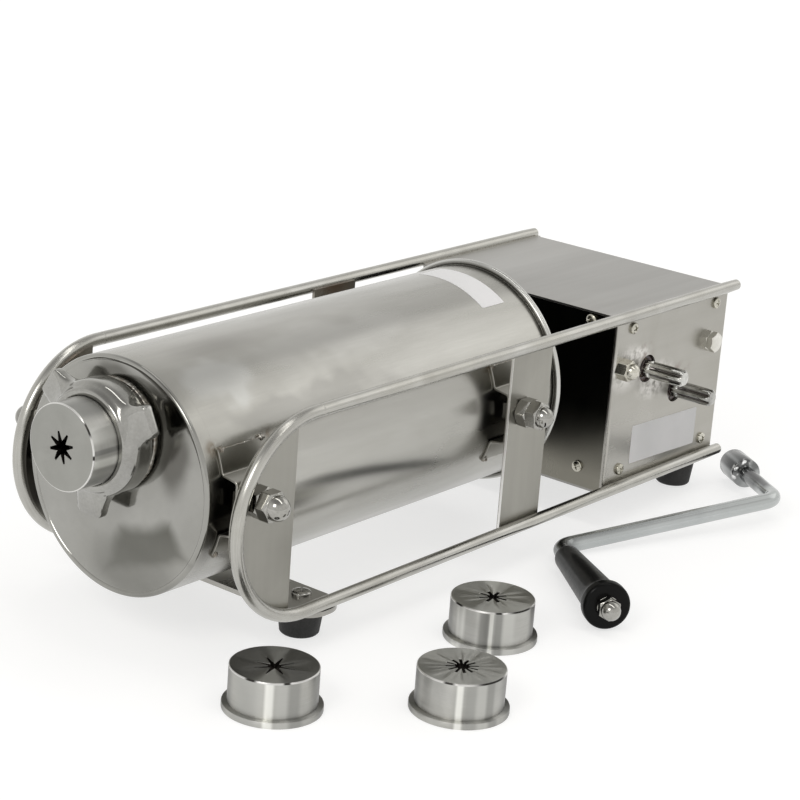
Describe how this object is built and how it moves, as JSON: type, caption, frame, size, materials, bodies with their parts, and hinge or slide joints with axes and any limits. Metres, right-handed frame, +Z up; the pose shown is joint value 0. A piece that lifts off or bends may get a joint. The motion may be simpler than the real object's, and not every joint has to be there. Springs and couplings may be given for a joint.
{
  "type": "churro maker",
  "caption": "Hand-cranked churro maker: a lying steel barrel in a tube frame, a geared rack piston, a ring nut with a star nozzle, loose nozzles and a loose crank.",
  "frame": {"origin": "on the table, at the centre of the footprint of the machine and its loose pieces together", "axes": "+X along the barrel from the outlet towards the gearbox, +Y from the crank side to the far side, +Z up"},
  "size_m": [0.596, 0.3326, 0.1773],
  "materials": {
    "brushed_sheet": "brushed stainless sheet",
    "bright_steel": "bright polished stainless rod and nuts",
    "cast_bright": "cast and polished stainless",
    "turned_steel": "turned stainless, fine rings",
    "gear_steel": "greased machined steel",
    "piston_steel": "turned stainless",
    "zinc_plated": "satin zinc plating",
    "dark_plate": "dark stainless sheet",
    "bush_brass": "machined bush",
    "foot_rubber": "matt black rubber",
    "seal_rubber": "pale food-grade rubber",
    "grip_plastic": "gloss black moulding"
  },
  "bodies": {
    "frame": {"barrel_bracket_front_far": "brushed_sheet", "barrel_bracket_front_near": "brushed_sheet", "barrel_bracket_rear_far": "brushed_sheet", "barrel_bracket_rear_near": "brushed_sheet", "barrel_tube": "brushed_sheet", "foot_screws": "brushed_sheet", "front_cap": "brushed_sheet", "front_cross_plate": "brushed_sheet", "front_strap_far": "brushed_sheet", "front_strap_near": "brushed_sheet", "gear_plate": "brushed_sheet", "gearbox_cover": "brushed_sheet", "gearbox_front_plate": "dark_plate", "gearbox_panel_far": "brushed_sheet", "gearbox_panel_near": "brushed_sheet", "guide_bolts": "bright_steel", "guide_nuts": "bright_steel", "outlet_spout": "brushed_sheet", "panel_screws": "brushed_sheet", "rear_cross_plate": "brushed_sheet", "rear_strap_far": "brushed_sheet", "rear_strap_near": "brushed_sheet", "roller_clips": "gear_steel", "rubber_foot_front_far": "foot_rubber", "rubber_foot_front_near": "foot_rubber", "rubber_foot_rear_far": "foot_rubber", "rubber_foot_rear_near": "foot_rubber", "shaft_bushes": "bush_brass", "side_rail_far": "bright_steel", "side_rail_near": "bright_steel", "strap_acorn_nuts": "bright_steel", "strap_bolts": "bright_steel", "strap_nuts": "bright_steel"},
    "piston": {"rack_bar": "gear_steel", "piston_disc": "piston_steel", "piston_seal": "seal_rubber", "piston_nut": "bright_steel"},
    "fast_shaft_group": {"fast_shaft": "gear_steel", "drive_wheel": "gear_steel", "rack_pinion": "gear_steel", "fast_collar": "gear_steel", "fast_roll_pins": "gear_steel"},
    "slow_shaft_group": {"slow_shaft": "gear_steel", "slow_pinion": "gear_steel", "slow_collar": "gear_steel", "slow_roll_pin": "gear_steel"},
    "crank": {"crank_rod": "zinc_plated", "crank_socket": "zinc_plated", "grip_washer": "brushed_sheet", "grip_acorn_nut": "bright_steel"},
    "crank_grip_body": {"crank_grip": "grip_plastic"},
    "nozzle_in_use": {"nozzle_mounted": "turned_steel"},
    "ring_nut_body": {"ring_nut": "cast_bright"},
    "roller_front": {"guide_roller_front": "gear_steel"},
    "roller_rear": {"guide_roller_rear": "gear_steel"},
    "loose_slit_star": {"nozzle_slit_star": "turned_steel"},
    "loose_twelve_slot": {"nozzle_twelve_slot": "turned_steel"},
    "loose_eight_slot": {"nozzle_eight_slot": "turned_steel"}
  },
  "joints": [
    {"name": "piston_slide", "type": "slide", "parent": "frame", "child": "piston", "axis": [1, 0, 0], "range_m": [0, 0.33]},
    {"name": "fast_spin", "type": "hinge", "parent": "frame", "child": "fast_shaft_group", "pos_m": [0.20582, 0.05752, 0.0845], "axis": [0, 1, 0], "continuous": true},
    {"name": "slow_spin", "type": "hinge", "parent": "frame", "child": "slow_shaft_group", "pos_m": [0.16646, 0.05752, 0.10632], "axis": [0, 1, 0], "continuous": true},
    {"name": "front_roller_spin", "type": "hinge", "parent": "frame", "child": "roller_front", "pos_m": [0.13382, 0.05752, 0.11248], "axis": [0, 1, 0], "continuous": true},
    {"name": "rear_roller_spin", "type": "hinge", "parent": "frame", "child": "roller_rear", "pos_m": [0.24182, 0.05752, 0.11248], "axis": [0, 1, 0], "continuous": true},
    {"name": "nozzle_out", "type": "slide", "parent": "frame", "child": "nozzle_in_use", "axis": [-1, 0, 0], "range_m": [0, 0.01201]},
    {"name": "ring_nut_turn", "type": "hinge", "parent": "nozzle_in_use", "child": "ring_nut_body", "pos_m": [-0.27198, 0.05752, 0.1293], "axis": [-1, 0, 0], "range_deg": [0, 1440]},
    {"name": "crank_lift", "type": "slide", "parent": "frame", "child": "crank", "axis": [0, 0, 1], "range_m": [0, 0.12]},
    {"name": "slit_star_lift", "type": "slide", "parent": "frame", "child": "loose_slit_star", "axis": [0, 0, 1], "range_m": [0, 0.06]},
    {"name": "twelve_slot_lift", "type": "slide", "parent": "frame", "child": "loose_twelve_slot", "axis": [0, 0, 1], "range_m": [0, 0.06]},
    {"name": "eight_slot_lift", "type": "slide", "parent": "frame", "child": "loose_eight_slot", "axis": [0, 0, 1], "range_m": [0, 0.06]},
    {"name": "grip_spin", "type": "hinge", "parent": "crank", "child": "crank_grip_body", "pos_m": [0.01159, -0.09662, 0.01259], "axis": [-0.6519, -0.7543, 0.0775], "continuous": true}
  ],
  "couplings": [
    {"joint": "fast_spin", "follows": "piston_slide", "rad_per_m": 83.333},
    {"joint": "slow_spin", "follows": "piston_slide", "rad_per_m": -194.44},
    {"joint": "front_roller_spin", "follows": "piston_slide", "rad_per_m": -137.93},
    {"joint": "rear_roller_spin", "follows": "piston_slide", "rad_per_m": -137.93},
    {"joint": "nozzle_out", "follows": "ring_nut_turn", "m_per_rad": 0.00047746}
  ]
}
